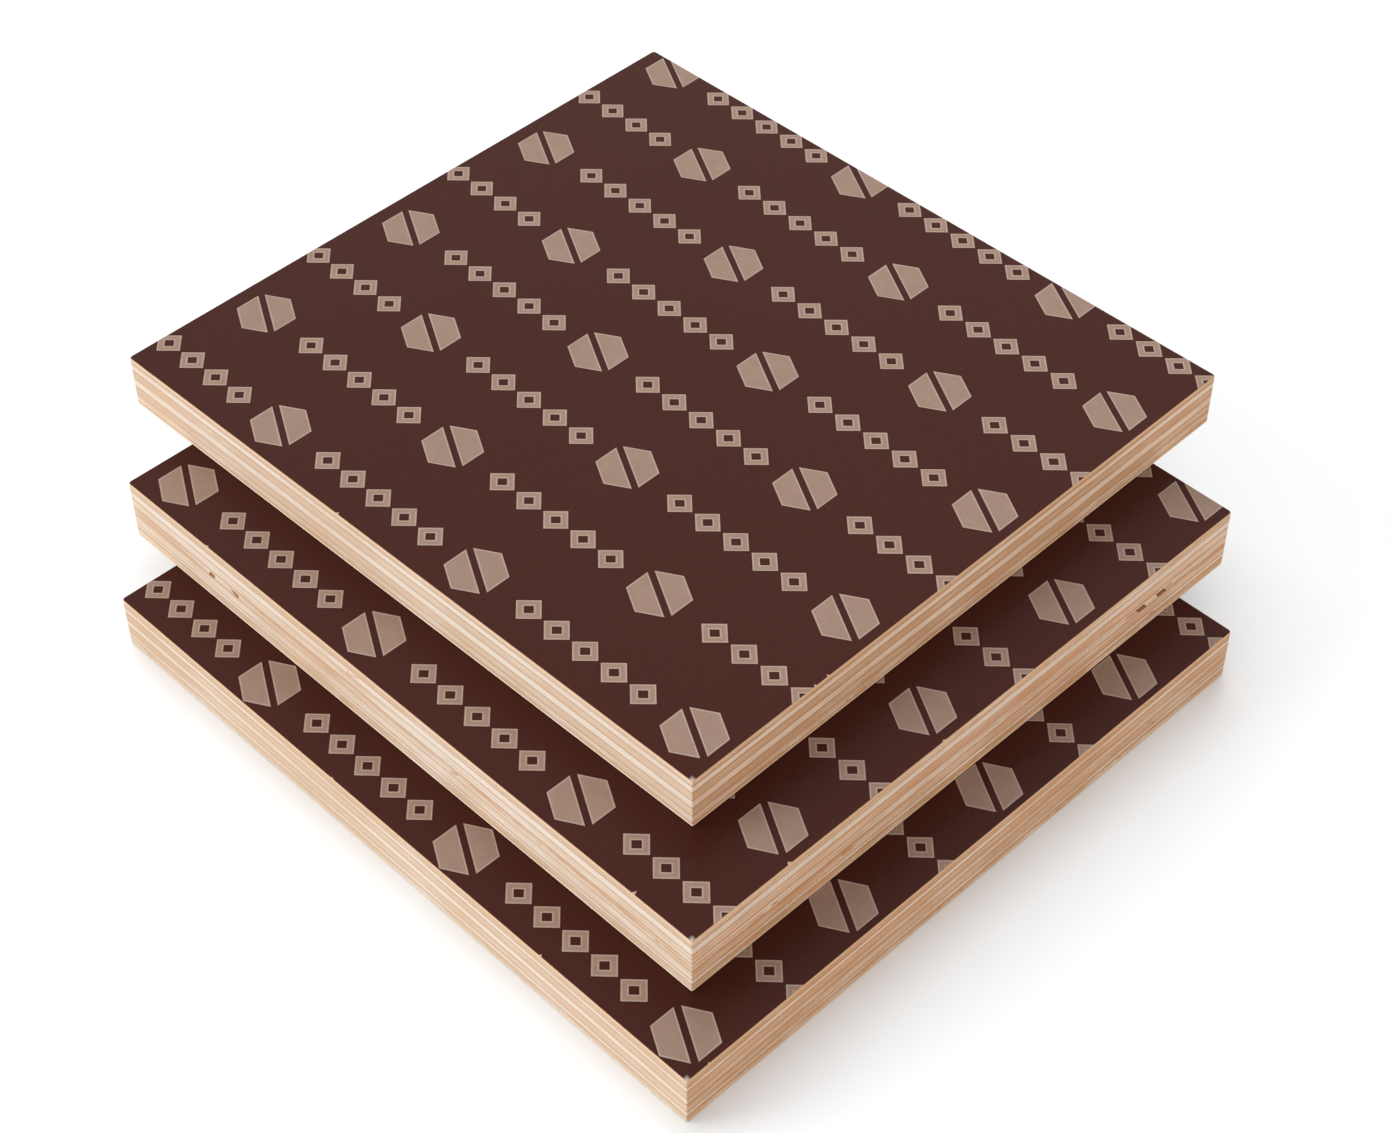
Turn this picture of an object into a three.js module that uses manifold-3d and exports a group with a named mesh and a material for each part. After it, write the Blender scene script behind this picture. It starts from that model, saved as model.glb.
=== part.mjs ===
// Stack of three film-faced plywood sheets, lying loose on each other.
// Units are millimetres, +Z is up, and the stack stands on z = 0.
// Each sheet is built as it is pressed: a back film, its cross-laid veneers, a face film.

import * as THREE from 'three';
import { mergeVertices } from 'three/addons/utils/BufferGeometryUtils.js';
import Module from 'manifold-3d';

// ---- Driving dimensions ----

const SHEET_LENGTH = 235; // along X
const SHEET_WIDTH = 220; // along Y
const FILM_THICKNESS = 0.3; // phenolic film on each face
const CORNER_EASE = 1.2; // radius that sanding left on three of the upright corners
const FRONT_CORNER_EASE = 0.5; // radius of the fourth, at +X and -Y, which is nearly sharp
const CORNER_STEPS = 4; // curve divisions round one eased corner
const ARRIS_EASE = 0.4; // how far the long edges are sanded, through the film into the wood
const ARRIS_STEPS = 3; // facets over one eased edge

// Veneer thicknesses, from the back of the sheet to its face.
const BOTTOM_SHEET_VENEERS = [2.6, 1.9, 3.1, 2.5, 3.1, 1.8, 2.4];
const MIDDLE_SHEET_VENEERS = [3.05, 1.75, 3.5, 3.3, 3.5, 2.85, 2.45];
const TOP_SHEET_VENEERS = [1.3, 2.8, 3.15, 2.95, 3.2, 2.4, 1.6];

// How far each upper sheet is pushed back over the one below, and turned on it.
const MIDDLE_SHEET_PUSH = new THREE.Vector2(-18.8, 19.9);
const MIDDLE_SHEET_TURN = THREE.MathUtils.degToRad(0.1);
const TOP_SHEET_PUSH = new THREE.Vector2(-27.8, 24.6);
const TOP_SHEET_TURN = THREE.MathUtils.degToRad(0.75);

// Core gaps: small slanted openings where strips of the middle sheet's centre veneer
// don't meet, on its +X edge and its -Y edge. The spans of their foot and head are measured
// along the edge: on +X from the -Y corner, on -Y from the -X corner.
const CORE_GAP_VENEER = 4;
const CORE_GAP_LIFT = 0.2; // wood left under a gap
const CORE_GAPS = [
  { edge: '+X', foot: [179, 182.8], head: [177.4, 181.2], height: 2.1, depth: 1.5 },
  { edge: '+X', foot: [188, 191.8], head: [186.4, 190.2], height: 2.1, depth: 1.5 },
  { edge: '-Y', foot: [36.2, 39], head: [37.4, 39.8], height: 2.1, depth: 0.6 },
  { edge: '-Y', foot: [48.6, 50.2], head: [46.4, 50.4], height: 1.8, depth: 0.6 },
];

// ---- Materials ----

const FILM = { color: 0x4e302d, roughness: 0.42 };
const TAN_WOOD = { color: 0xcfa47c, roughness: 0.75 };
const CREAM_WOOD = { color: 0xe6d2b4, roughness: 0.78 };

// ---- Solids ----

const FACE_TOLERANCE = 1e-4; // how near to a face height 32-bit numbers leave a vertex

const wasm = await Module();
wasm.setup();

// The plan of a sheet: a rectangle with its four corners eased, drawn about its own centre.
function sheetOutline() {
  const outline = new THREE.Shape();
  const addCorner = (sideX, sideY, radius, startAngle) => {
    const x = sideX * (SHEET_LENGTH / 2 - radius);
    const y = sideY * (SHEET_WIDTH / 2 - radius);
    outline.absarc(x, y, radius, startAngle, startAngle + Math.PI / 2);
  };
  addCorner(1, -1, FRONT_CORNER_EASE, -Math.PI / 2);
  addCorner(1, 1, CORNER_EASE, 0);
  addCorner(-1, 1, CORNER_EASE, Math.PI / 2);
  addCorner(-1, -1, CORNER_EASE, Math.PI);
  outline.closePath();
  return outline;
}

// The whole sheet before it is told apart into layers: its plan, with both long edges eased.
function sheetBlank(base, thickness) {
  const blank = new THREE.ExtrudeGeometry(sheetOutline(), {
    depth: thickness - 2 * ARRIS_EASE,
    curveSegments: CORNER_STEPS,
    bevelThickness: ARRIS_EASE,
    bevelSize: ARRIS_EASE,
    bevelOffset: -ARRIS_EASE,
    bevelSegments: ARRIS_STEPS,
  });
  blank.translate(0, 0, base + ARRIS_EASE);
  return toManifold(blank);
}

// The layer of a blank between two heights. It is cut by a slab wider than the sheet.
function layerOf(blank, bottom, top) {
  const slab = new THREE.BoxGeometry(2 * SHEET_LENGTH, 2 * SHEET_WIDTH, top - bottom);
  slab.translate(0, 0, (bottom + top) / 2);
  return blank.intersect(toManifold(slab));
}

// Puts a layer's two faces at the exact heights that its neighbours take.
function levelFaces(geometry, bottom, top) {
  const position = geometry.getAttribute('position');
  for (let i = 0; i < position.count; i += 1) {
    const height = position.getZ(i);
    if (Math.abs(height - bottom) < FACE_TOLERANCE) position.setZ(i, bottom);
    if (Math.abs(height - top) < FACE_TOLERANCE) position.setZ(i, top);
  }
  return geometry;
}

function toManifold(geometry) {
  const bare = geometry.clone();
  bare.deleteAttribute('normal');
  bare.deleteAttribute('uv');
  const merged = mergeVertices(bare);
  return new wasm.Manifold(new wasm.Mesh({
    numProp: 3,
    vertProperties: merged.getAttribute('position').array,
    triVerts: new Uint32Array(merged.getIndex().array),
  }));
}

function fromManifold(solid) {
  const mesh = solid.getMesh();
  const geometry = new THREE.BufferGeometry();
  geometry.setAttribute('position', new THREE.BufferAttribute(mesh.vertProperties, 3));
  geometry.setIndex(new THREE.BufferAttribute(mesh.triVerts, 1));
  geometry.computeVertexNormals();
  return geometry;
}

// One core gap's cutter: its slanted outline, drawn along the edge and up, pushed in from
// outside the sheet. The outline is drawn in XY and then stood on the edge.
function coreGapCutter(gap, base) {
  const low = base + CORE_GAP_LIFT;
  const high = low + gap.height;
  const outline = new THREE.Shape([
    new THREE.Vector2(gap.foot[0], low),
    new THREE.Vector2(gap.foot[1], low),
    new THREE.Vector2(gap.head[1], high),
    new THREE.Vector2(gap.head[0], high),
  ]);
  const cutter = new THREE.ExtrudeGeometry(outline, { depth: 2 * gap.depth, bevelEnabled: false });
  cutter.translate(0, 0, -gap.depth);
  cutter.rotateX(Math.PI / 2);
  if (gap.edge === '+X') {
    cutter.rotateZ(Math.PI / 2);
    cutter.translate(SHEET_LENGTH / 2, -SHEET_WIDTH / 2, 0);
  } else {
    cutter.translate(-SHEET_LENGTH / 2, -SHEET_WIDTH / 2, 0);
  }
  return toManifold(cutter);
}

function withCoreGaps(layer, base) {
  return CORE_GAPS.reduce((solid, gap) => solid.subtract(coreGapCutter(gap, base)), layer);
}

function namedMesh(name, geometry, finish) {
  const mesh = new THREE.Mesh(geometry, new THREE.MeshStandardMaterial({ metalness: 0, ...finish }));
  mesh.name = name;
  return mesh;
}

// Makes one sheet on the height given, and returns its group and its top height.
function makeSheet({ name, base, veneers, place, turn, gapVeneer }) {
  const sheet = new THREE.Group();
  sheet.position.set(place.x, place.y, 0);
  sheet.rotation.z = turn;

  const thickness = veneers.reduce((sum, veneer) => sum + veneer, 2 * FILM_THICKNESS);
  const blank = sheetBlank(base, thickness);
  let height = base;
  const addLayer = (layerName, layerThickness, finish, hasGaps) => {
    const top = height + layerThickness;
    const plain = layerOf(blank, height, top);
    const solid = hasGaps ? withCoreGaps(plain, height) : plain;
    const geometry = levelFaces(fromManifold(solid), height, top);
    sheet.add(namedMesh(`${name}_${layerName}`, geometry, finish));
    height = top;
  };

  addLayer('back_film', FILM_THICKNESS, FILM, false);
  veneers.forEach((veneer, index) => {
    const number = index + 1;
    // The grain of every second veneer runs across, and shows paler on the sawn edges.
    const finish = index % 2 === 0 ? TAN_WOOD : CREAM_WOOD;
    addLayer(`veneer_${number}`, veneer, finish, number === gapVeneer);
  });
  addLayer('face_film', FILM_THICKNESS, FILM, false);
  return { sheet, top: height };
}

// ---- The stack ----

const bottom = makeSheet({
  name: 'bottom_sheet',
  base: 0,
  veneers: BOTTOM_SHEET_VENEERS,
  place: new THREE.Vector2(0, 0),
  turn: 0,
});
const middlePlace = MIDDLE_SHEET_PUSH;
const middle = makeSheet({
  name: 'middle_sheet',
  base: bottom.top,
  veneers: MIDDLE_SHEET_VENEERS,
  place: middlePlace,
  turn: MIDDLE_SHEET_TURN,
  gapVeneer: CORE_GAP_VENEER,
});
const top = makeSheet({
  name: 'top_sheet',
  base: middle.top,
  veneers: TOP_SHEET_VENEERS,
  place: middlePlace.clone().add(TOP_SHEET_PUSH),
  turn: MIDDLE_SHEET_TURN + TOP_SHEET_TURN,
});

const stack = new THREE.Group();
stack.name = 'plywood_sheet_stack';
stack.add(bottom.sheet, middle.sheet, top.sheet);

// The origin is under the middle of the whole stack's outline.
const centre = new THREE.Box3().setFromObject(stack, true).getCenter(new THREE.Vector3());
stack.position.set(-centre.x, -centre.y, 0);

export default stack;
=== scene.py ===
"""Looks for a stack of three film-faced plywood sheets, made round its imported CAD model.

Every layer of every sheet is a CAD node and keeps its shape. This script gives the sawn
edges their wood and the faces their printed film, and adds the floor, lights and camera.
Lengths are in metres, except in the materials, which work in the sheet's own millimetres.
"""

import math
from typing import NamedTuple

import bpy
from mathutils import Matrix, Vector


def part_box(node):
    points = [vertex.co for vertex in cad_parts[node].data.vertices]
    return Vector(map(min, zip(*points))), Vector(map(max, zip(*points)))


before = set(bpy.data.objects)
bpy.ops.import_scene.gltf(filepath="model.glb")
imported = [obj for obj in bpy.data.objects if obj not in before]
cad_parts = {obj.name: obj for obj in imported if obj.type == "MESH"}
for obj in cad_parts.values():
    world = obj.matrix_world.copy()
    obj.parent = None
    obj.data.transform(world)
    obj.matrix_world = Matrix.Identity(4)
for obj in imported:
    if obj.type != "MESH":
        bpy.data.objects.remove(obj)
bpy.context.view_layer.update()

MM = 0.001

# ---- The sheets, as the CAD model lays them ----

SHEETS = ("bottom_sheet", "middle_sheet", "top_sheet")
# How far each sheet is turned about its centre.
TURN = {
    "bottom_sheet": 0.0,
    "middle_sheet": math.radians(0.1),
    "top_sheet": math.radians(0.85),
}


def plan_size():
    """A sheet's length and width in millimetres, off the bottom one, which isn't turned."""
    low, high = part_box("bottom_sheet_veneer_1")
    return (high.x - low.x) / MM, (high.y - low.y) / MM


SHEET_LENGTH, SHEET_WIDTH = plan_size()


def veneers(sheet):
    """The names of a sheet's veneers, from the back up."""
    count = sum(name.startswith(sheet + "_veneer_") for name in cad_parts)
    return [f"{sheet}_veneer_{number}" for number in range(1, count + 1)]


def sheet_place(sheet):
    """The sheet's centre on its underside, in metres."""
    low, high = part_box(sheet + "_back_film")
    return Vector(((low.x + high.x) / 2, (low.y + high.y) / 2, low.z))


# ---- Shader building ----


class Noise(NamedTuple):
    """A smooth noise from 0 to 1: its cells to a millimetre along the sheet and up through
    it, its octaves of detail and how strong the finer ones are."""

    along: float
    up: float
    detail: float = 2.0
    roughness: float = 0.5


# The values that a noise mostly lies between, and a narrower span for stronger contrast.
NOISE_SPAN = (0.3, 0.7)
NOISE_MIDDLE = (0.35, 0.65)


def linear(red, green, blue):
    """A colour written as 0 to 255 screen values, as the linear values that shaders take."""

    def channel(value):
        share = value / 255
        return share / 12.92 if share <= 0.04045 else ((share + 0.055) / 1.055) ** 2.4

    return (channel(red), channel(green), channel(blue), 1.0)


def grey(value):
    """A colour with the same value in every channel."""
    return (value, value, value, 1.0)


class Shader:
    """The node tree of a material or the world. Most calls add a node and return what it
    puts out."""

    def __init__(self, owner):
        owner.use_nodes = True
        self.owner = owner
        self.tree = owner.node_tree
        self.tree.nodes.clear()

    def node(self, kind, *values, **settings):
        """Adds a node with its settings, and feeds its sockets in their order."""
        made = self.tree.nodes.new("ShaderNode" + kind)
        for key, value in settings.items():
            setattr(made, key, value)
        for socket, value in zip(made.inputs, values, strict=False):
            self.feed(socket, value)
        return made

    def feed(self, socket, value):
        """Links an output to a socket, or sets the socket to a plain value."""
        if isinstance(value, bpy.types.NodeSocket):
            self.tree.links.new(value, socket)
        else:
            socket.default_value = value

    def math(self, operation, *values):
        """The number that maths makes of some numbers."""
        return self.node("Math", *values, operation=operation).outputs[0]

    def vector(self, operation, *values):
        """The vector that maths makes of some vectors."""
        return self.node("VectorMath", *values, operation=operation).outputs["Vector"]

    def measure(self, operation, *values):
        """The number that maths makes of some vectors, such as their distance."""
        return self.node("VectorMath", *values, operation=operation).outputs["Value"]

    def axes(self, vector):
        """A vector's x, y and z."""
        return tuple(self.node("SeparateXYZ", vector).outputs)

    def blend(self, share, first, second):
        """The first colour at 0, the second at 1."""
        made = self.node("Mix", data_type="RGBA")
        self.feed(made.inputs["Factor"], share)
        self.feed(made.inputs[6], first)
        self.feed(made.inputs[7], second)
        return made.outputs[2]

    def between(self, value, span, onto=(0.0, 1.0)):
        """Maps one span of values onto another, held at both ends."""
        return self.node("MapRange", value, *span, *onto, clamp=True).outputs[0]

    def ramp(self, value, stops, interpolation="LINEAR"):
        """The colour at a value, from stops of a position and a colour."""
        made = self.node("ValToRGB", value)
        made.color_ramp.interpolation = interpolation
        elements = made.color_ramp.elements
        for position, colour in stops[1:-1]:
            elements.new(position).color = colour
        elements[0].position, elements[0].color = stops[0]
        elements[-1].position, elements[-1].color = stops[-1]
        return made.outputs["Color"]

    def noise(self, point, noise):
        """The noise's value at a point."""
        cells = (noise.along, noise.along, noise.up)
        made = self.node("TexNoise", self.vector("MULTIPLY", point, cells))
        made.inputs["Scale"].default_value = 1.0
        made.inputs["Detail"].default_value = noise.detail
        made.inputs["Roughness"].default_value = noise.roughness
        return made.outputs["Fac"]

    def centred(self, share, reach):
        """A share from 0 to 1 spread over that reach, with its middle at 0."""
        return self.math("MULTIPLY_ADD", share, reach, -reach / 2)

    def sheet_space(self, sheet):
        """The point in the sheet's own millimetres: its centre at 0, 0 and its back at 0."""
        coordinates = self.node("TexCoord").outputs["Object"]
        made = self.node("Mapping", coordinates, vector_type="TEXTURE")
        made.inputs["Location"].default_value = sheet_place(sheet)
        made.inputs["Rotation"].default_value = (0, 0, TURN[sheet])
        made.inputs["Scale"].default_value = (MM, MM, MM)
        return made.outputs[0]

    def surface(self, colour, roughness, specular, height, bump_mm):
        """A Principled surface. Its bump is that deep in millimetres where the height is 1."""
        bump = self.node("Bump")
        bump.inputs["Distance"].default_value = bump_mm * MM
        self.feed(bump.inputs["Height"], height)
        principled = self.node("BsdfPrincipled")
        self.feed(principled.inputs["Base Color"], colour)
        self.feed(principled.inputs["Roughness"], roughness)
        principled.inputs["Specular IOR Level"].default_value = specular
        self.feed(principled.inputs["Normal"], bump.outputs[0])
        return principled.outputs[0]

    def only_seen(self, unseen, seen):
        """The second shader where the camera, a gloss or a glass sees it, and the first for
        all other light."""
        rays = self.node("LightPath").outputs
        share = self.math("MAXIMUM", rays["Is Camera Ray"], rays["Is Glossy Ray"])
        share = self.math("MAXIMUM", share, rays["Is Transmission Ray"])
        return self.node("MixShader", share, unseen, seen).outputs[0]

    def finish(self, surface, output="OutputMaterial"):
        """Ends the tree in that surface, and returns the material or world."""
        self.feed(self.node(output).inputs["Surface"], surface)
        return self.owner


def material_shader(name):
    """The shader of a new material."""
    return Shader(bpy.data.materials.new(name))


# ---- Sawn veneer edges ----

# The wood's colours, on the two long edges and on the two ends, which are a darker, warmer
# copy as painted shade: tan and pale veneers, glue lines, figure and knots, darker wood in the
# core gaps as painted recess shade, and a painted highlight along both arrises. Some veneers are
# warmer on the ends.
LONG_EDGE_WOOD = {
    "tan": linear(220, 192, 165),
    "cream": linear(238, 224, 209),
    "glue": linear(198, 154, 116),
    "figure": linear(202, 150, 104),
    # Painted shade: the wood inside the core gaps is darker, as the recess's shade.
    "gap_shade": linear(192, 150, 114),
    # Painted highlight along both arrises.
    "arris_highlight": linear(250, 232, 206),
}
# Painted shade: the ends' wood is a darker, warmer copy of the long edges' wood.
END_WOOD_SHADED = {
    "tan": linear(208, 161, 121),
    "cream": linear(243, 219, 195),
    "glue": linear(184, 119, 75),
    "figure": linear(200, 130, 80),
    "gap_shade": linear(192, 134, 88),
    "arris_highlight": linear(246, 208, 164),
}
WARM_WOOD = linear(238, 184, 140)

# How pale each veneer is, from the back of the sheet to its face: 0 is tan, 1 is cream.
LONG_EDGE_PALENESS = {
    "bottom_sheet": (0.00, 0.65, 0.05, 0.75, -0.05, 0.85, -0.10),
    "middle_sheet": (0.10, 0.60, 0.50, 0.30, 0.60, 1.05, 0.00),
    "top_sheet": (0.00, 0.35, 0.05, 0.90, 0.15, 1.00, 0.05),
}
END_PALENESS = {
    "bottom_sheet": (0.12, 0.50, 0.25, 0.40, 0.05, 0.68, 0.00),
    "middle_sheet": (0.00, 0.68, 0.30, 0.66, 0.45, 1.05, 0.45),
    "top_sheet": (0.00, 0.36, 0.05, 0.80, 0.05, 0.90, 0.15),
}
# How much of a warmer tone each veneer has on the ends.
END_WARMTH = {
    "bottom_sheet": (0.00, 0.00, 0.00, 0.05, 0.15, 0.00, 0.10),
    "middle_sheet": (0.05, 0.00, 0.25, 0.10, 0.36, 0.00, 0.30),
    "top_sheet": (0.00, 0.00, 0.00, 0.10, 0.05, 0.10, 0.10),
}
# How far the glue lines wander in millimetres, and how strongly the grain shows.
WANDER = {"bottom_sheet": 0.6, "middle_sheet": 0.9, "top_sheet": 0.5}
GRAIN_STRENGTH = {"bottom_sheet": 0.8, "middle_sheet": 1.1, "top_sheet": 0.8}

# The two edges' looks run into each other this far round an upright corner, in millimetres.
CORNER_BLEND = (-0.2, 0.2)

# How the glue lines wander: slowly, and in short waves.
SLOW_WANDER = Noise(along=0.012, up=0.08, detail=1.0)
QUICK_WANDER = Noise(along=0.06, up=0.35)
SLOW_WANDER_SHARE = 0.7
QUICK_WANDER_SHARE = 0.3
# Half the width of a glue line at its core and at its foot, and how patchily it shows.
GLUE_CORE = 0.12
GLUE_FOOT = 0.28
GLUE_PATCHES = Noise(along=0.06, up=0.3)
GLUE_PATCH_SPAN = (0.3, 0.6)
GLUE_STRENGTH = (0.7, 1.0)

# The grain along the edges, each noise with how much it lightens or darkens the wood: slow
# changes of tone, broad, long and fine streaks, short patches, and flecks.
GRAIN = (
    (Noise(along=0.018, up=0.02, detail=1.0, roughness=0.55), 0.20),
    (Noise(along=0.02, up=0.7, roughness=0.55), 0.22),
    (Noise(along=0.03, up=1.9, detail=3.0, roughness=0.55), 0.34),
    (Noise(along=0.10, up=4.5, roughness=0.55), 0.20),
    (Noise(along=0.07, up=0.25, roughness=0.55), 0.22),
    (Noise(along=0.9, up=2.4, roughness=0.55), 0.14),
)
# The grain grows stronger in the outermost veneers, between these depths, by up to this much.
OUTER_GRAIN_DEPTHS = (3.2, 2.2)
OUTER_GRAIN = (0.0, 0.5)

# How the warmer tone of the ends comes and goes along them.
WARMTH_DRIFT = Noise(along=0.03, up=0.25, detail=1.0)
WARMTH_STRENGTH = (0.4, 1.6)

# A ragged noise, which varies the wood's roughness and frays its marks by that many
# millimetres.
RAGGED = Noise(along=0.25, up=1.6, detail=3.0)
MARK_FRAY = 0.8
# How late a mark narrows towards its ends, and how soft its outline is as a share of its
# half width.
MARK_TAPER = 4.0
MARK_SOFTNESS = 0.5

# A painted highlight of paler wood along both arrises: where it fades, up from the sheet's back
# and from the underside of its face film, and how strongly it shows.
LOW_ARRIS_FADE = (0.65, 0.90)
LOW_ARRIS_STRENGTH = 0.80
HIGH_ARRIS_FADE = (-0.45, -0.15)
HIGH_ARRIS_STRENGTH = 0.7

# Wood is inside a core gap where it lies this far behind the plane of its edge, except this
# close to a corner. Distances behind a plane are negative.
GAP_DEPTH = (-0.2, -0.1)
CORNER_CLEARANCE = -2.0

# Saw marks stand across the edge, faint on the long edges.
SAW_MARKS = Noise(along=2.2, up=0.10, roughness=0.6)
SAW_MARK_SPAN = (0.35, 0.7)
SAW_MARK_STRENGTH = (0.0, 0.12)
SAW_MARKS_BY_EDGE = (0.4, 1.0)

# How much of the wood's relief is saw marks and how much the ragged noise.
SAW_RELIEF = 0.4
RAGGED_RELIEF = 0.6
WOOD_ROUGHNESS = (0.62, 0.78)
WOOD_SPECULAR = 0.2
WOOD_BUMP = 0.08

# Figure, knots and slanted joints on the sawn edges, each a stroke from one point to another
# with a half width and a strength. A point is given along the edge and up from the sheet's
# back: on the long -Y edge from the -X corner, and on the +X end from the -Y corner.
LONG_EDGE_MARKS = {
    "middle_sheet": (
        (-20, 19.5, 255, 19.5, 1.20, 0.14),
        (0, 11.8, 34, 11.8, 0.30, 0.70),
        (0, 10.7, 30, 10.4, 0.25, 0.50),
        (0, 9.9, 36, 9.7, 0.50, 0.50),
        (34, 11.7, 62, 12.0, 0.25, 0.65),
        (52, 11.0, 100, 10.8, 0.60, 0.50),
        (60, 10.6, 63, 11.8, 0.50, 0.65),
        (63, 11.9, 140, 11.7, 0.25, 0.70),
        (88, 10.0, 96, 10.3, 0.50, 0.50),
        (99.7, 15.6, 100.3, 17.6, 0.35, 0.55),
        (100.5, 16.2, 104.6, 17.3, 0.35, 0.65),
        (104, 10.9, 142, 11.0, 0.40, 0.50),
        (142.2, 9.8, 145.6, 10.9, 0.55, 0.75),
        (146, 11.8, 178, 11.9, 0.30, 0.70),
        (150, 11.2, 166, 10.3, 0.45, 0.65),
        (166, 10.9, 176, 10.7, 0.35, 0.50),
        (176.5, 10.4, 178.6, 9.7, 0.35, 0.75),
        (180, 11.8, 235, 11.7, 0.30, 0.65),
        (178, 10.9, 222, 10.4, 0.40, 0.75),
        (221.4, 10.2, 223.2, 9.5, 0.45, 0.85),
        (223, 10.4, 235, 10.1, 0.60, 0.50),
        (25, 2.0, 62, 1.9, 0.60, 0.40),
        (62, 2.3, 92, 2.0, 0.50, 0.40),
        (94, 1.8, 101, 2.0, 0.80, 0.55),
        (101, 1.9, 235, 1.9, 0.50, 0.50),
    ),
    "top_sheet": (
        (-10, 12.1, 36, 12.0, 1.20, 0.20),
        (-10, 6.0, 32, 6.1, 1.20, 0.20),
        (38, 12.0, 43, 11.9, 0.70, 0.35),
        (40, 2.2, 75, 1.7, 0.30, 0.40),
        (75, 2.3, 97, 2.0, 0.35, 0.40),
        (97, 2.9, 102, 1.9, 0.30, 0.50),
        (104, 2.1, 160, 1.9, 0.35, 0.40),
        (162, 2.4, 172, 2.2, 0.40, 0.50),
        (184, 2.3, 204, 2.0, 0.30, 0.50),
        (204, 2.0, 210, 2.6, 0.25, 0.50),
        (210, 2.6, 232, 1.9, 0.25, 0.50),
    ),
    "bottom_sheet": (
        (-20, 16.7, 255, 16.7, 1.10, 0.24),
        (-10, 11.9, 34, 12.0, 1.30, 0.25),
        (-10, 6.4, 38, 6.3, 1.30, 0.25),
        (8, 1.9, 12, 1.8, 0.40, 0.35),
        (92, 2.8, 98, 2.7, 0.25, 0.55),
        (141, 2.9, 145, 2.8, 0.25, 0.50),
        (190, 2.4, 201, 2.5, 0.25, 0.55),
        (100, 16.9, 107, 17.3, 0.60, 0.30),
    ),
}
END_MARKS = {
    "middle_sheet": (
        (0, 10.6, 10, 10.2, 0.40, 0.50),
        (6, 8.8, 20, 8.5, 0.35, 0.55),
        (10, 10.3, 27, 10.0, 0.50, 0.55),
        (20, 8.4, 27, 8.6, 0.60, 0.50),
        (28.6, 9.9, 31.4, 9.5, 0.30, 0.95),
        (28, 8.0, 56, 7.6, 1.00, 0.40),
        (55, 7.8, 60.5, 6.8, 0.90, 0.65),
        (66, 13.6, 160, 13.4, 1.50, 0.40),
        (160, 13.6, 168, 12.8, 0.70, 0.35),
        (172.5, 10.6, 179, 10.0, 0.90, 0.60),
        (176, 11.5, 190, 11.6, 0.30, 0.55),
        (190, 9.8, 194.5, 10.3, 0.90, 0.60),
        (193, 9.3, 206, 9.2, 0.40, 0.55),
        (203, 7.8, 220, 7.6, 1.00, 0.40),
        (184.5, 4.0, 187, 3.6, 0.30, 0.70),
        (10, 2.3, 60, 2.1, 0.60, 0.40),
        (84, 2.6, 92, 1.8, 0.50, 0.40),
        (98, 1.9, 112, 1.6, 0.50, 0.50),
        (118, 2.3, 158, 2.0, 0.50, 0.50),
    ),
    "top_sheet": (
        (-20, 16.9, 240, 16.9, 1.00, 0.12),
        (5, 1.8, 13, 1.3, 0.30, 0.50),
        (24, 2.6, 30, 1.6, 0.40, 0.35),
        (58.6, 2.4, 60.4, 2.2, 0.35, 0.85),
        (62, 2.3, 68, 1.7, 0.45, 0.40),
        (64, 5.6, 69, 4.4, 0.60, 0.40),
        (90, 2.6, 104, 2.2, 0.30, 0.50),
        (132, 2.0, 148, 1.8, 0.35, 0.50),
        (149, 1.3, 154, 1.2, 0.30, 0.70),
        (166, 2.9, 171, 2.2, 0.40, 0.50),
    ),
    "bottom_sheet": (
        (-20, 16.7, 240, 16.7, 1.10, 0.20),
        (5.4, 2.5, 7, 2.2, 0.25, 0.85),
        (18, 2.4, 20, 1.9, 0.30, 0.65),
        (30, 2.7, 32, 2.3, 0.30, 0.75),
        (43, 2.9, 47, 2.6, 0.25, 0.65),
        (89, 2.3, 92, 2.2, 0.30, 0.65),
        (94.8, 2.3, 96.4, 1.9, 0.28, 0.95),
        (101, 2.8, 105, 2.7, 0.25, 0.70),
        (103.4, 1.5, 105.4, 1.4, 0.28, 0.95),
        (133, 2.6, 142, 2.0, 0.40, 0.50),
        (136, 12.0, 165, 11.8, 1.20, 0.30),
        (144, 1.8, 146, 1.5, 0.35, 0.95),
        (183.6, 7.2, 185, 6.4, 0.35, 0.65),
        (185.2, 5.5, 187, 5.2, 0.25, 0.95),
        (170, 2.4, 173, 1.7, 0.40, 0.55),
        (199, 6.9, 220, 6.8, 0.60, 0.65),
        (203, 15.9, 211, 16.3, 0.30, 0.65),
        (204, 2.0, 209, 1.8, 0.35, 0.65),
    ),
}


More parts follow.
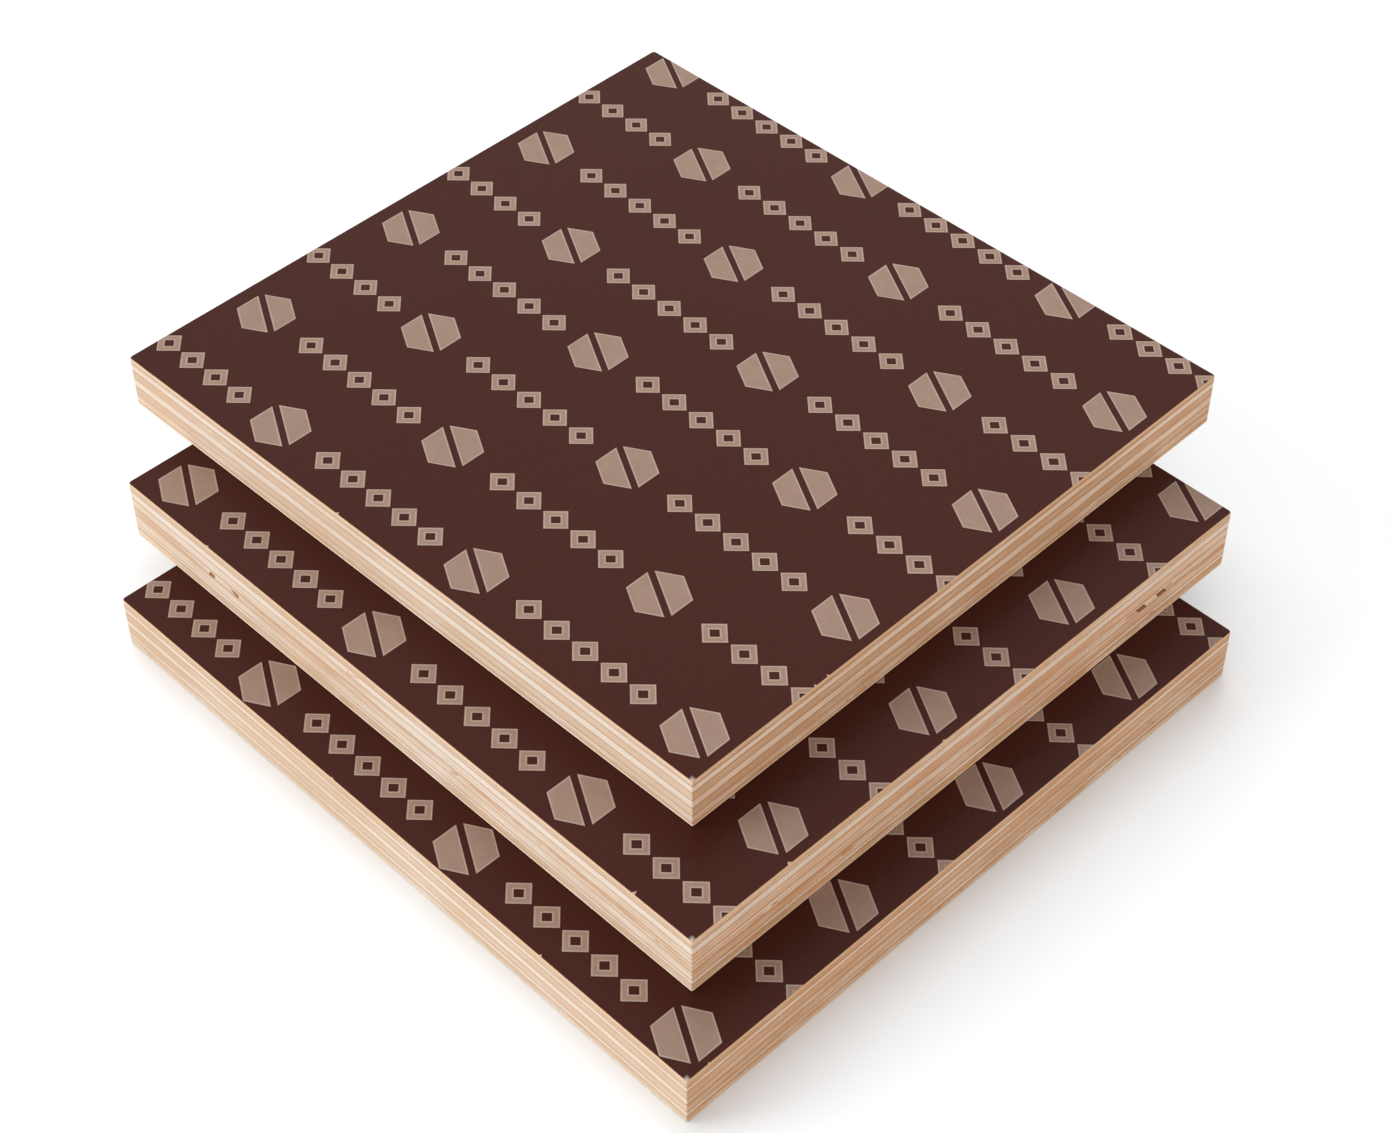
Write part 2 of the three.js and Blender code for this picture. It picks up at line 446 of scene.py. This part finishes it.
class SawnEdges:
    """The wood on one sheet's sawn edges: the long ones on its -Y and +Y sides, and the ends.
    Each add call paints one thing over a colour. Distances are in millimetres."""

    def __init__(self, sheet):
        names = veneers(sheet)
        base = sheet_place(sheet).z
        self.sheet = sheet
        self.lower_faces = [(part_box(name)[0].z - base) / MM for name in names]
        self.top = (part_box(names[-1])[1].z - base) / MM

        shader = material_shader(sheet + "_veneer_edges")
        self.shader = shader
        self.point = shader.sheet_space(sheet)
        self.x, self.y, self.height = shader.axes(self.point)
        self.past_end = shader.math("SUBTRACT", shader.math("ABSOLUTE", self.x), SHEET_LENGTH / 2)
        self.past_side = shader.math("SUBTRACT", shader.math("ABSOLUTE", self.y), SHEET_WIDTH / 2)
        nearer_end = shader.math("SUBTRACT", self.past_end, self.past_side)
        self.on_end = shader.between(nearer_end, CORNER_BLEND)
        self.level = shader.math("ADD", self.height, self.wander())
        self.share = shader.math("DIVIDE", self.level, self.top)
        self.ragged = shader.noise(self.point, RAGGED)
        self.fray = shader.centred(self.ragged, MARK_FRAY)

    def wander(self):
        """How far the glue lines stray up or down."""
        shader = self.shader
        slow = shader.noise(self.point, SLOW_WANDER)
        quick = shader.math("MULTIPLY", shader.noise(self.point, QUICK_WANDER), QUICK_WANDER_SHARE)
        mixed = shader.math("MULTIPLY_ADD", slow, SLOW_WANDER_SHARE, quick)
        return shader.centred(mixed, WANDER[self.sheet])

    def wood(self, tone):
        """The wood's colour of that name on the edge at a point, a darker, warmer copy on the ends
        as painted shade.
        """
        return self.shader.blend(self.on_end, LONG_EDGE_WOOD[tone], END_WOOD_SHADED[tone])

    def up_the_edge(self, stops, interpolation="LINEAR"):
        """A value by level, from stops of a level and a value. It is held at both ends."""
        stops = [(level / self.top, grey(value)) for level, value in stops]
        return self.shader.ramp(self.share, stops, interpolation)

    def by_veneer(self, table):
        """The sheet's value in the table for the veneer at a point."""
        values = table[self.sheet]
        starts = [0.0] + self.lower_faces[1:]
        return self.up_the_edge(list(zip(starts, values, strict=True)), "CONSTANT")

    def glue_lines(self):
        """1 on the joints between two veneers, falling off to 0 on both sides."""
        stops = [(0.0, 0)]
        for joint in self.lower_faces[1:]:
            stops.append((joint - GLUE_FOOT, 0))
            stops.append((joint - GLUE_CORE, 1))
            stops.append((joint + GLUE_CORE, 1))
            stops.append((joint + GLUE_FOOT, 0))
        stops.append((self.top, 0))
        return self.up_the_edge(stops)

    def grain(self):
        """How much paler or darker than its veneer the wood is at a point."""
        shader = self.shader
        total = 0.0
        for noise, amount in GRAIN:
            tone = shader.between(shader.noise(self.point, noise), NOISE_SPAN, (-amount, amount))
            total = shader.math("ADD", total, tone)
        middle = self.top / 2
        from_middle = shader.math("ABSOLUTE", shader.math("SUBTRACT", self.height, middle))
        span = [middle - depth for depth in OUTER_GRAIN_DEPTHS]
        outermost = shader.between(from_middle, span, OUTER_GRAIN)
        strength = shader.math("ADD", outermost, GRAIN_STRENGTH[self.sheet])
        return shader.math("MULTIPLY", total, strength)

    def bare_veneers(self):
        """Tan and cream veneers with their grain, warmer in places on the ends."""
        shader = self.shader
        long_edge_pale = self.by_veneer(LONG_EDGE_PALENESS)
        pale = shader.blend(self.on_end, long_edge_pale, self.by_veneer(END_PALENESS))
        pale = shader.math("ADD", pale, self.grain())
        colour = shader.blend(pale, self.wood("tan"), self.wood("cream"))
        drift = shader.noise(self.point, WARMTH_DRIFT)
        drift = shader.between(drift, NOISE_MIDDLE, WARMTH_STRENGTH)
        warmth = shader.math("MULTIPLY", self.by_veneer(END_WARMTH), drift)
        return shader.blend(shader.math("MULTIPLY", warmth, self.on_end), colour, WARM_WOOD)

    def add_glue(self, colour):
        """Glue lines, patchy along the edge."""
        shader = self.shader
        patches = shader.noise(self.point, GLUE_PATCHES)
        patches = shader.between(patches, GLUE_PATCH_SPAN, GLUE_STRENGTH)
        glue = shader.math("MULTIPLY", self.glue_lines(), patches)
        return shader.blend(glue, colour, self.wood("glue"))

    def stroke(self, place, mark):
        """How strongly one mark shows at a point. It narrows towards its ends."""
        shader = self.shader
        start_along, start_height, end_along, end_height, half_width, strength = mark
        start = Vector((start_along, start_height, 0))
        line = Vector((end_along, end_height, 0)) - start
        offset = shader.vector("SUBTRACT", place, start)
        share = shader.measure("DOT_PRODUCT", offset, line / line.length_squared)
        share = shader.between(share, (0.0, 1.0))
        # Multiplying by the share would turn it into a vector, which overfills the shader when
        # there are many marks.
        nearest = shader.node("VectorMath", line, operation="SCALE")
        shader.feed(nearest.inputs["Scale"], share)
        away = shader.measure("DISTANCE", offset, nearest.outputs["Vector"])
        away = shader.math("ADD", away, self.fray)
        narrowing = shader.math("POWER", shader.centred(share, 2.0), MARK_TAPER)
        away = shader.math("ADD", away, shader.math("MULTIPLY", narrowing, half_width))
        outline = (half_width * (1 - MARK_SOFTNESS), half_width * (1 + MARK_SOFTNESS))
        return shader.between(away, outline, (strength, 0.0))

    def marks(self, along, table):
        """The strongest of one edge's marks at a point."""
        place = self.shader.node("CombineXYZ", along, self.level).outputs[0]
        strongest = 0.0
        for mark in table[self.sheet]:
            strongest = self.shader.math("MAXIMUM", strongest, self.stroke(place, mark))
        return strongest

    def add_figure(self, colour):
        """Figure, knots and joints on the -Y edge and on the +X end."""
        shader = self.shader
        along_side = shader.math("ADD", self.x, SHEET_LENGTH / 2)
        along_end = shader.math("ADD", self.y, SHEET_WIDTH / 2)
        on_side = shader.math("SUBTRACT", 1.0, self.on_end)
        at_side = shader.math("MULTIPLY", on_side, shader.math("LESS_THAN", self.y, 0.0))
        at_end = shader.math("MULTIPLY", self.on_end, shader.math("GREATER_THAN", self.x, 0.0))
        marked = shader.math("MULTIPLY", at_end, self.marks(along_end, END_MARKS))
        side_marks = self.marks(along_side, LONG_EDGE_MARKS)
        marked = shader.math("MULTIPLY_ADD", at_side, side_marks, marked)
        return shader.blend(marked, colour, self.wood("figure"))

    def add_arris_highlights(self, colour):
        """Painted highlight: paler wood along both arrises."""
        shader = self.shader
        low = shader.between(self.height, LOW_ARRIS_FADE, (LOW_ARRIS_STRENGTH, 0.0))
        fade = [self.top + height for height in HIGH_ARRIS_FADE]
        high = shader.between(self.height, fade, (0.0, HIGH_ARRIS_STRENGTH))
        return shader.blend(shader.math("MAXIMUM", low, high), colour, self.wood("arris_highlight"))

    def add_core_gaps(self, colour):
        """Darker wood inside the core gaps: painted shade of the recess."""
        shader = self.shader
        nearer = shader.math("MAXIMUM", self.past_end, self.past_side)
        farther = shader.math("MINIMUM", self.past_end, self.past_side)
        inside = shader.between(nearer, GAP_DEPTH, (1.0, 0.0))
        clear = shader.math("LESS_THAN", farther, CORNER_CLEARANCE)
        return shader.blend(shader.math("MULTIPLY", inside, clear), colour, self.wood("gap_shade"))

    def add_saw_marks(self, colour, saw):
        """Thin dark ribs across the edge."""
        shader = self.shader
        ribs = shader.between(saw, SAW_MARK_SPAN, SAW_MARK_STRENGTH)
        by_edge = shader.between(self.on_end, (0.0, 1.0), SAW_MARKS_BY_EDGE)
        return shader.blend(shader.math("MULTIPLY", ribs, by_edge), colour, self.wood("glue"))

    def material(self):
        """The finished wood."""
        shader = self.shader
        colour = self.add_figure(self.add_glue(self.bare_veneers()))
        colour = self.add_core_gaps(self.add_arris_highlights(colour))
        saw = shader.noise(self.point, SAW_MARKS)
        colour = self.add_saw_marks(colour, saw)
        rough_relief = shader.math("MULTIPLY", self.ragged, RAGGED_RELIEF)
        relief = shader.math("MULTIPLY_ADD", saw, SAW_RELIEF, rough_relief)
        roughness = shader.between(self.ragged, NOISE_SPAN, WOOD_ROUGHNESS)
        wood = shader.surface(colour, roughness, WOOD_SPECULAR, relief, WOOD_BUMP)
        return shader.finish(wood)


# ---- Printed film ----

# The film, its sawn rims, the ink and the ink's lighter rim, where the film is worn, and a painted
# highlight, a bright glint at its front corner.
FILM = (0.0460, 0.0098, 0.0060, 1.0)
FACE_FILM_RIM = linear(208, 166, 130)
# The back rims of the middle and top sheets are painted near black as contact shade under their
# edges; the bottom sheet's takes the wood's colour.
BACK_RIM_AND_CONTACT_SHADE = {
    "bottom_sheet": linear(206, 170, 134),
    "middle_sheet": linear(30, 14, 10),
    "top_sheet": linear(30, 14, 10),
}
PRINT = linear(151, 126, 111)
PRINT_RIM = linear(173, 150, 136)
# Painted highlight: the bright glint at the front corner.
CORNER_GLINT = linear(205, 192, 184)
CHIP = linear(186, 159, 136)

# The film is mottled by a fine weave, and a little lighter in broad clouds.
FILM_WEAVE = Noise(along=1.7, up=1.7, detail=3.0, roughness=0.6)
FILM_DARK = 0.84
FILM_LIGHT = 1.16
FILM_CLOUDS = Noise(along=0.02, up=0.02)
CLOUD_STRENGTH = (0.0, 0.2)
FILM_ROUGHNESS = (0.28, 0.36)
FILM_SPECULAR = 0.122
FILM_BUMP = 0.01
# How far below its outer face a film's sawn rim begins.
FILM_RIM_DEPTH = (0.03, 0.08)

# The print is a plain one, of split hexagons and chains of open diamonds in rows.
ROW_PITCH = 29.0
MOTIF_PITCH = 84.0
HEXAGON_AT = -31.0
HEXAGON_APOTHEM = 8.2
HEXAGON_SPLIT = 1.0
HEXAGON_LEAN = math.radians(60)
CHAIN_AT = 12.0
DIAMOND_PITCH = 11.0
DIAMOND_HALF_LENGTH = 5.0
DIAMOND_HALF_HEIGHT = 4.8
DIAMOND_STROKE = 2.1
CHAIN_HALF_LENGTH = 27.5
# How far the rows of each sheet are shifted.
PRINT_SHIFT = {
    "bottom_sheet": (30.0, -1.5),
    "middle_sheet": (-11.0, -3.5),
    "top_sheet": (31.0, -4.0),
}
# Distances out from a printed shape's outline: the soft edge of its ink, the lighter rim
# inside that, and the darker halo round it.
INK_EDGE = (-0.08, 0.08)
INK_COVER = 0.97
INK_RIM = (-0.55, -0.30)
HALO_SPAN = (0.1, 0.8)
HALO_STRENGTH = 0.45
HALO_TONE = 0.6
# Where the ink is worn thin.
INK_WEAR = Noise(along=0.25, up=0.25, detail=3.0)
INK_WEAR_STRENGTH = (0.0, 0.10)

# Film chipped off at the edges, given as on the sawn edges: how far along, how wide and how
# far in from the edge.
LONG_EDGE_CHIPS = {
    "bottom_sheet": ((96.0, 1.2, 0.5), (180.5, 0.7, 0.9)),
    "middle_sheet": ((37.5, 1.2, 0.6), (213.5, 0.6, 1.5)),
    "top_sheet": ((95.0, 0.8, 0.9),),
}
END_CHIPS = {
    "bottom_sheet": ((8.0, 0.8, 0.5),),
    "middle_sheet": ((35.6, 1.1, 1.0), (95.0, 1.0, 0.7)),
    "top_sheet": ((46.5, 0.6, 0.8), (51.5, 0.5, 0.9)),
}
CHIP_EDGE = (-0.1, 0.1)
# A painted highlight: a small bright glint at the front corner, which fades this far in from both
# edges.
CORNER_GLINT_REACH = (0.5, 1.8)
CORNER_GLINT_STRENGTH = 0.85
# How far the outlines of chips and of the painted corner glint are frayed.
WEAR_FRAY = 0.5


def film_tone(factor):
    """The film's colour, made lighter or darker."""
    return tuple(value * factor for value in FILM[:3]) + (1.0,)


def hexagon_distance(shader, across, rise):
    """How far a point is outside a hexagon that stands on a corner, split in two by a
    slanted gap."""
    lean_across = math.cos(HEXAGON_LEAN)
    lean_up = math.sin(HEXAGON_LEAN)
    side = shader.math("ABSOLUTE", across)
    up = shader.math("MULTIPLY", shader.math("ABSOLUTE", rise), lean_up)
    slant = shader.math("MULTIPLY_ADD", side, lean_across, up)
    outline = shader.math("SUBTRACT", shader.math("MAXIMUM", slant, side), HEXAGON_APOTHEM)
    line = shader.math("MULTIPLY", rise, lean_up)
    line = shader.math("MULTIPLY_ADD", across, lean_across, line)
    gap_shade = shader.math("SUBTRACT", HEXAGON_SPLIT, shader.math("ABSOLUTE", line))
    return shader.math("MAXIMUM", outline, gap_shade)


def chain_distance(shader, across, rise):
    """How far a point is outside a chain of open diamonds."""
    side = math.hypot(DIAMOND_HALF_LENGTH, DIAMOND_HALF_HEIGHT)
    lean_across = DIAMOND_HALF_HEIGHT / side
    lean_up = DIAMOND_HALF_LENGTH / side
    to_stroke_middle = DIAMOND_STROKE / 2 - DIAMOND_HALF_LENGTH * lean_across
    link = shader.math("WRAP", across, DIAMOND_PITCH / 2, -DIAMOND_PITCH / 2)
    slant = shader.math("ABSOLUTE", link)
    slant = shader.math("MULTIPLY_ADD", slant, lean_across, to_stroke_middle)
    slant = shader.math("MULTIPLY_ADD", shader.math("ABSOLUTE", rise), lean_up, slant)
    stroke = shader.math("SUBTRACT", shader.math("ABSOLUTE", slant), DIAMOND_STROKE / 2)
    ends = shader.math("SUBTRACT", shader.math("ABSOLUTE", across), CHAIN_HALF_LENGTH)
    return shader.math("MAXIMUM", stroke, ends)


def print_distance(shader, x, y):
    """How far a point is outside the nearest printed shape. Every other row is shifted by
    half a motif."""
    row = shader.math("FLOOR", shader.math("DIVIDE", y, ROW_PITCH))
    odd = shader.math("MODULO", shader.math("ABSOLUTE", row), 2.0)
    along = shader.math("MULTIPLY_ADD", odd, MOTIF_PITCH / 2, x)
    across = shader.math("WRAP", along, MOTIF_PITCH / 2, -MOTIF_PITCH / 2)
    rise = shader.math("SUBTRACT", shader.math("WRAP", y, ROW_PITCH, 0.0), ROW_PITCH / 2)
    from_hexagon = shader.math("SUBTRACT", across, HEXAGON_AT)
    from_chain = shader.math("SUBTRACT", across, CHAIN_AT)
    hexagon = hexagon_distance(shader, from_hexagon, rise)
    return shader.math("MINIMUM", hexagon, chain_distance(shader, from_chain, rise))


def chips(shader, along, inward, table):
    """Where film is chipped off one edge, as pointed notches."""
    most = 0.0
    for place, half_width, depth in table:
        aside = shader.math("ABSOLUTE", shader.math("SUBTRACT", along, place))
        edge = shader.math("MULTIPLY_ADD", aside, -depth / half_width, depth)
        past = shader.math("SUBTRACT", inward, edge)
        most = shader.math("MAXIMUM", most, shader.between(past, CHIP_EDGE, (1.0, 0.0)))
    return most


class Film:
    """The film on one face of a sheet. Each add call paints one thing over a colour.
    Distances are in millimetres."""

    def __init__(self, sheet, side):
        shader = material_shader(f"{sheet}_{side}_film")
        self.sheet = sheet
        self.side = side
        self.shader = shader
        self.point = shader.sheet_space(sheet)
        self.x, self.y, self.height = shader.axes(self.point)
        self.weave = shader.noise(self.point, FILM_WEAVE)

    def bare_film(self):
        """The mottled film."""
        shader = self.shader
        light = film_tone(FILM_LIGHT)
        mottle = shader.between(self.weave, NOISE_SPAN)
        colour = shader.blend(mottle, film_tone(FILM_DARK), light)
        clouds = shader.noise(self.point, FILM_CLOUDS)
        clouds = shader.between(clouds, NOISE_MIDDLE, CLOUD_STRENGTH)
        return shader.blend(clouds, colour, light)

    def add_print(self, colour):
        """The printed shapes, each in a darker halo."""
        shader = self.shader
        shift_x, shift_y = PRINT_SHIFT[self.sheet]
        shifted_x = shader.math("ADD", self.x, shift_x)
        shifted_y = shader.math("ADD", self.y, shift_y)
        outside = print_distance(shader, shifted_x, shifted_y)
        halo = shader.between(outside, HALO_SPAN, (HALO_STRENGTH, 0.0))
        colour = shader.blend(halo, colour, film_tone(HALO_TONE))
        ink = shader.blend(shader.between(outside, INK_RIM), PRINT, PRINT_RIM)
        wear = shader.noise(self.point, INK_WEAR)
        wear = shader.between(wear, NOISE_SPAN, INK_WEAR_STRENGTH)
        ink = shader.blend(wear, ink, FILM)
        return shader.blend(shader.between(outside, INK_EDGE, (INK_COVER, 0.0)), colour, ink)

    def add_wear_and_glint(self, colour):
        """Chips along the -Y edge and the +X end, and a painted highlight, a bright glint, on the
        corner between them.
        """
        shader = self.shader
        fray = shader.centred(self.weave, WEAR_FRAY)
        along_side = shader.math("ADD", self.x, SHEET_LENGTH / 2)
        along_end = shader.math("ADD", self.y, SHEET_WIDTH / 2)
        from_side = shader.math("ADD", along_end, fray)
        from_end = shader.math("ADD", shader.math("SUBTRACT", SHEET_LENGTH / 2, self.x), fray)
        side_chips = chips(shader, along_side, from_side, LONG_EDGE_CHIPS[self.sheet])
        end_chips = chips(shader, along_end, from_end, END_CHIPS[self.sheet])
        colour = shader.blend(shader.math("MAXIMUM", side_chips, end_chips), colour, CHIP)
        from_corner = shader.math("MAXIMUM", from_side, from_end)
        # Painted highlight: a bright glint painted on the front corner.
        corner_glint = shader.between(from_corner, CORNER_GLINT_REACH, (CORNER_GLINT_STRENGTH, 0.0))
        return shader.blend(corner_glint, colour, CORNER_GLINT)

    def add_rim(self, colour):
        """The line that the film's own sawn edge makes. On the back films of the middle and top
        sheets it is painted near black as contact shade.
        """
        low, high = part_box(f"{self.sheet}_{self.side}_film")
        face_up = self.side == "face"
        outer_face = ((high.z if face_up else low.z) - sheet_place(self.sheet).z) / MM
        depth = self.shader.math("SUBTRACT", self.height, outer_face)
        depth = self.shader.math("ABSOLUTE", depth)
        rim_and_shade = FACE_FILM_RIM if face_up else BACK_RIM_AND_CONTACT_SHADE[self.sheet]
        return self.shader.blend(self.shader.between(depth, FILM_RIM_DEPTH), colour, rim_and_shade)

    def material(self):
        """The finished film. Only the upper faces are printed, worn and given the painted corner
        glint.
        """
        shader = self.shader
        colour = self.bare_film()
        if self.side == "face":
            colour = self.add_wear_and_glint(self.add_print(colour))
        colour = self.add_rim(colour)
        roughness = shader.between(self.weave, NOISE_SPAN, FILM_ROUGHNESS)
        film = shader.surface(colour, roughness, FILM_SPECULAR, self.weave, FILM_BUMP)
        return shader.finish(film)


def set_material(name, material):
    """Gives a CAD node one material."""
    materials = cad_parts[name].data.materials
    materials.clear()
    materials.append(material)


def dress_cad():
    """Gives every CAD node its material."""
    for sheet in SHEETS:
        wood = SawnEdges(sheet).material()
        for name in veneers(sheet):
            set_material(name, wood)
        for side in ("back", "face"):
            set_material(f"{sheet}_{side}_film", Film(sheet, side).material())


# ---- Floor, light and camera ----

FLOOR_SIZE = 6.0
# The floor's colour and its glow where it is seen, and how grey it is where it lights the sheets.
FLOOR_WHITE = (0.812, 0.82, 0.826, 1.0)
FLOOR_GLOW = 0.165
FLOOR_BOUNCE = 0.3
# A painted contact shade on the floor close to the sheets: how wide and how deep it is.
CONTACT_REACH = 6.5 * MM
CONTACT_DEPTH = 1.5
CONTACT_SAMPLES = 4

# How strong the world's light is, and how white the world looks.
AMBIENT = 0.537
BACKGROUND = 1.0

# The camera, as fitted to the photograph. It stands that way from what it looks at.
FRAME_WIDTH_PX = 1388
FOCAL_PX = 2786.65
SENSOR_MM = 36.0
CAMERA_AZIMUTH_DEG = -44.593
CAMERA_ELEVATION_DEG = 45.305
CAMERA_DISTANCE = 0.80564
LOOK_AT = Vector((0.02161, -0.01234, 0.0285))


def floor_material():
    """White to the camera, which also sees the shadow and a painted contact shade close to the
    sheets, where ambient occlusion dims its glow. It throws little light back at them, so their
    sawn edges stay even."""
    shader = material_shader("floor_white")
    bounce = shader.node("BsdfDiffuse", grey(FLOOR_BOUNCE)).outputs[0]
    white = shader.node("BsdfDiffuse", FLOOR_WHITE).outputs[0]
    # Painted contact shade: ambient occlusion dims the floor's glow close to the sheets.
    openness = shader.node("AmbientOcclusion", samples=CONTACT_SAMPLES)
    openness.inputs["Distance"].default_value = CONTACT_REACH
    openness = shader.math("POWER", openness.outputs["AO"], CONTACT_DEPTH)
    strength = shader.math("MULTIPLY", openness, FLOOR_GLOW)
    glow = shader.node("Emission", grey(1.0), strength).outputs[0]
    lifted = shader.node("AddShader", white, glow).outputs[0]
    return shader.finish(shader.only_seen(bounce, lifted))


def make_floor():
    """A wide floor under the bottom sheet."""
    bpy.ops.mesh.primitive_plane_add(size=FLOOR_SIZE)
    floor = bpy.context.object
    floor.name = "floor"
    floor.data.materials.append(floor_material())


def make_world():
    """White where it is seen, and a plain soft light everywhere else."""
    shader = Shader(bpy.data.worlds.new("white_room"))
    ambient = shader.node("Background", grey(1.0), AMBIENT).outputs[0]
    white = shader.node("Background", grey(1.0), BACKGROUND).outputs[0]
    world = shader.finish(shader.only_seen(ambient, white), "OutputWorld")
    bpy.context.scene.world = world


def direction(azimuth_deg, elevation_deg):
    """The way to a far point, at an angle round from +X and an angle up."""
    azimuth = math.radians(azimuth_deg)
    elevation = math.radians(elevation_deg)
    return Vector(
        (
            math.cos(azimuth) * math.cos(elevation),
            math.sin(azimuth) * math.cos(elevation),
            math.sin(elevation),
        )
    )


def add_facing_back(name, data, towards):
    """Adds a lamp or camera that stands in that direction and looks back along it."""
    holder = bpy.data.objects.new(name, data)
    bpy.context.scene.collection.objects.link(holder)
    holder.rotation_mode = "QUATERNION"
    holder.rotation_quaternion = towards.to_track_quat("Z", "Y")
    return holder


def make_sun(name, azimuth_deg, elevation_deg, power, spread_deg):
    """A far soft lamp. It isn't mirrored in the film, whose sheen comes from the white room."""
    lamp = bpy.data.lights.new(name, "SUN")
    lamp.energy = power
    lamp.angle = math.radians(spread_deg)
    holder = add_facing_back(name, lamp, direction(azimuth_deg, elevation_deg))
    holder.visible_glossy = False


def make_lights():
    """The key lamp stands behind on the left and throws the floor's shadow to the right. Two
    lower ones light the sawn edges from the left and from the right."""
    make_sun("key", azimuth_deg=149, elevation_deg=35, power=2.09, spread_deg=64)
    make_sun("left_fill", azimuth_deg=225, elevation_deg=18, power=2.18, spread_deg=40)
    make_sun("right_fill", azimuth_deg=330, elevation_deg=18, power=1.18, spread_deg=40)


def make_camera():
    """The camera at the photograph's viewing angle."""
    camera = bpy.data.cameras.new("camera")
    camera.sensor_width = SENSOR_MM
    camera.lens = FOCAL_PX / FRAME_WIDTH_PX * SENSOR_MM
    towards = direction(CAMERA_AZIMUTH_DEG, CAMERA_ELEVATION_DEG)
    holder = add_facing_back("camera", camera, towards)
    holder.location = LOOK_AT + towards * CAMERA_DISTANCE
    bpy.context.scene.camera = holder


bpy.context.scene.view_settings.view_transform = "Standard"
make_camera()
dress_cad()
make_floor()
make_world()
make_lights()
